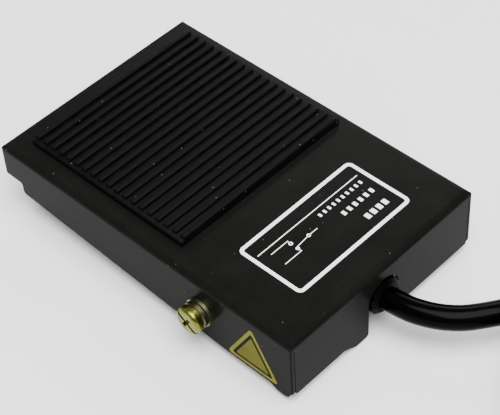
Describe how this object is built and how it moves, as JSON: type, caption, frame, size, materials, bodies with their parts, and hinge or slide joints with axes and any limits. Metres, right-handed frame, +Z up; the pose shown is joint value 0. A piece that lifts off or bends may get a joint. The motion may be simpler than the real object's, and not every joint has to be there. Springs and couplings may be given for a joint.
{
  "type": "electrical foot switch",
  "caption": "Sheet-metal foot switch: a hinged treadle cover with a ribbed rubber tread presses a snap-action changeover switch; fixed mains lead.",
  "frame": {"origin": "on the floor, under the middle of the treadle cover", "axes": "+Z up, +Y from the tread towards the lead's outlet, +X towards the earth screw's side"},
  "size_m": [0.1215, 0.2553, 0.03],
  "materials": {
    "black_paint": "semi-gloss black stove enamel on folded steel",
    "zinc_tray": "bright zinc-plated sheet steel",
    "tread_rubber": "ribbed black rubber",
    "base_rubber": "plain black rubber sheet",
    "print_ink": "white screen-printed ink",
    "sticker_film": "yellow vinyl film with a dark inner border",
    "zinc_hardware": "bright zinc-plated steel hardware",
    "yellow_zinc": "yellow passivated zinc-plated steel",
    "clip_steel": "phosphated spring steel",
    "nylon": "natural nylon",
    "spring_steel": "zinc-plated spring wire",
    "insulation": "phenolic insulating sheet",
    "switch_plastic": "black moulded phenolic",
    "plunger_plastic": "red moulded plunger",
    "lever_steel": "stainless strip",
    "contact_brass": "tinned brass and contact alloy",
    "relief_rubber": "black moulded strain relief",
    "black_nylon": "black nylon",
    "lead_sheath": "black flexible sheath",
    "core_brown": "brown core insulation",
    "core_blue": "blue core insulation",
    "core_black": "black core insulation",
    "core_ends": "insulation of the three free cores",
    "sleeve_red": "red heat-shrink sleeve",
    "ferrule_tin": "tinned ferrules"
  },
  "bodies": {
    "base": {"base_plate": "zinc_tray", "switch_bracket": "zinc_tray", "base_mat": "base_rubber", "hinge_pin_left": "zinc_hardware", "hinge_pin_right": "zinc_hardware", "bracket_screws": "zinc_hardware", "bracket_nuts": "zinc_hardware", "switch_screws": "zinc_hardware", "switch_nuts": "zinc_hardware", "clamp_screws": "zinc_hardware", "clamp_nuts": "zinc_hardware", "lever_pin": "zinc_hardware", "spring_seats": "zinc_hardware", "hinge_clips": "clip_steel", "hinge_washers": "nylon", "coil_tie": "nylon", "return_spring_left": "spring_steel", "return_spring_right": "spring_steel", "insulating_sheet": "insulation", "switch_case": "switch_plastic", "switch_lid": "switch_plastic", "common_terminal": "contact_brass", "closed_terminal": "contact_brass", "open_terminal": "contact_brass", "strain_relief": "relief_rubber", "relief_nut": "black_nylon", "clamp_block": "black_nylon", "clamp_bridge": "black_nylon", "lead": "lead_sheath", "lead_coil": "lead_sheath", "lead_end": "lead_sheath", "inner_lead": "lead_sheath", "core_common": "core_brown", "core_closed": "core_blue", "core_open": "core_black", "lead_cores": "core_ends", "core_sleeves": "sleeve_red", "lead_ferrules": "ferrule_tin"},
    "treadle": {"top_cover": "black_paint", "tread_mat": "tread_rubber", "printed_panel": "print_ink", "side_sticker": "sticker_film", "hinge_bracket_left": "black_paint", "hinge_bracket_right": "black_paint", "hinge_bush_left": "nylon", "hinge_bush_right": "nylon", "striker": "zinc_hardware", "spring_caps": "zinc_hardware", "earth_screw": "yellow_zinc", "spring_washer": "zinc_hardware", "flat_washer": "zinc_hardware", "earth_nut": "zinc_hardware"},
    "lever": {"switch_lever": "lever_steel"},
    "plunger": {"switch_plunger": "plunger_plastic"},
    "blade": {"contact_blade": "contact_brass"}
  },
  "joints": [
    {"name": "treadle_hinge", "type": "hinge", "parent": "base", "child": "treadle", "pos_m": [0, 0.047, 0.009], "axis": [1, 0, 0], "range_deg": [0, 2.5], "stiffness_Nm_per_rad": 27, "springref_deg": -2.23, "deforming": ["return_spring_left", "return_spring_right"]},
    {"name": "lever_hinge", "type": "hinge", "parent": "base", "child": "lever", "pos_m": [0, 0.0058, 0.02035], "axis": [1, 0, 0], "range_deg": [0, 9.4]},
    {"name": "plunger_slide", "type": "slide", "parent": "base", "child": "plunger", "axis": [0, 0, -1], "range_m": [0, 0.00085]},
    {"name": "blade_hinge", "type": "hinge", "parent": "base", "child": "blade", "pos_m": [0, 0.0052, 0.0152], "axis": [1, 0, 0], "range_deg": [0, 3.9]}
  ],
  "couplings": [
    {"joint": "lever_hinge", "follows": "treadle_hinge", "ratio": 3.675},
    {"joint": "plunger_slide", "follows": "treadle_hinge", "m_per_rad": 0.0184},
    {"joint": "blade_hinge", "follows": "treadle_hinge", "ratio": 1.5}
  ]
}
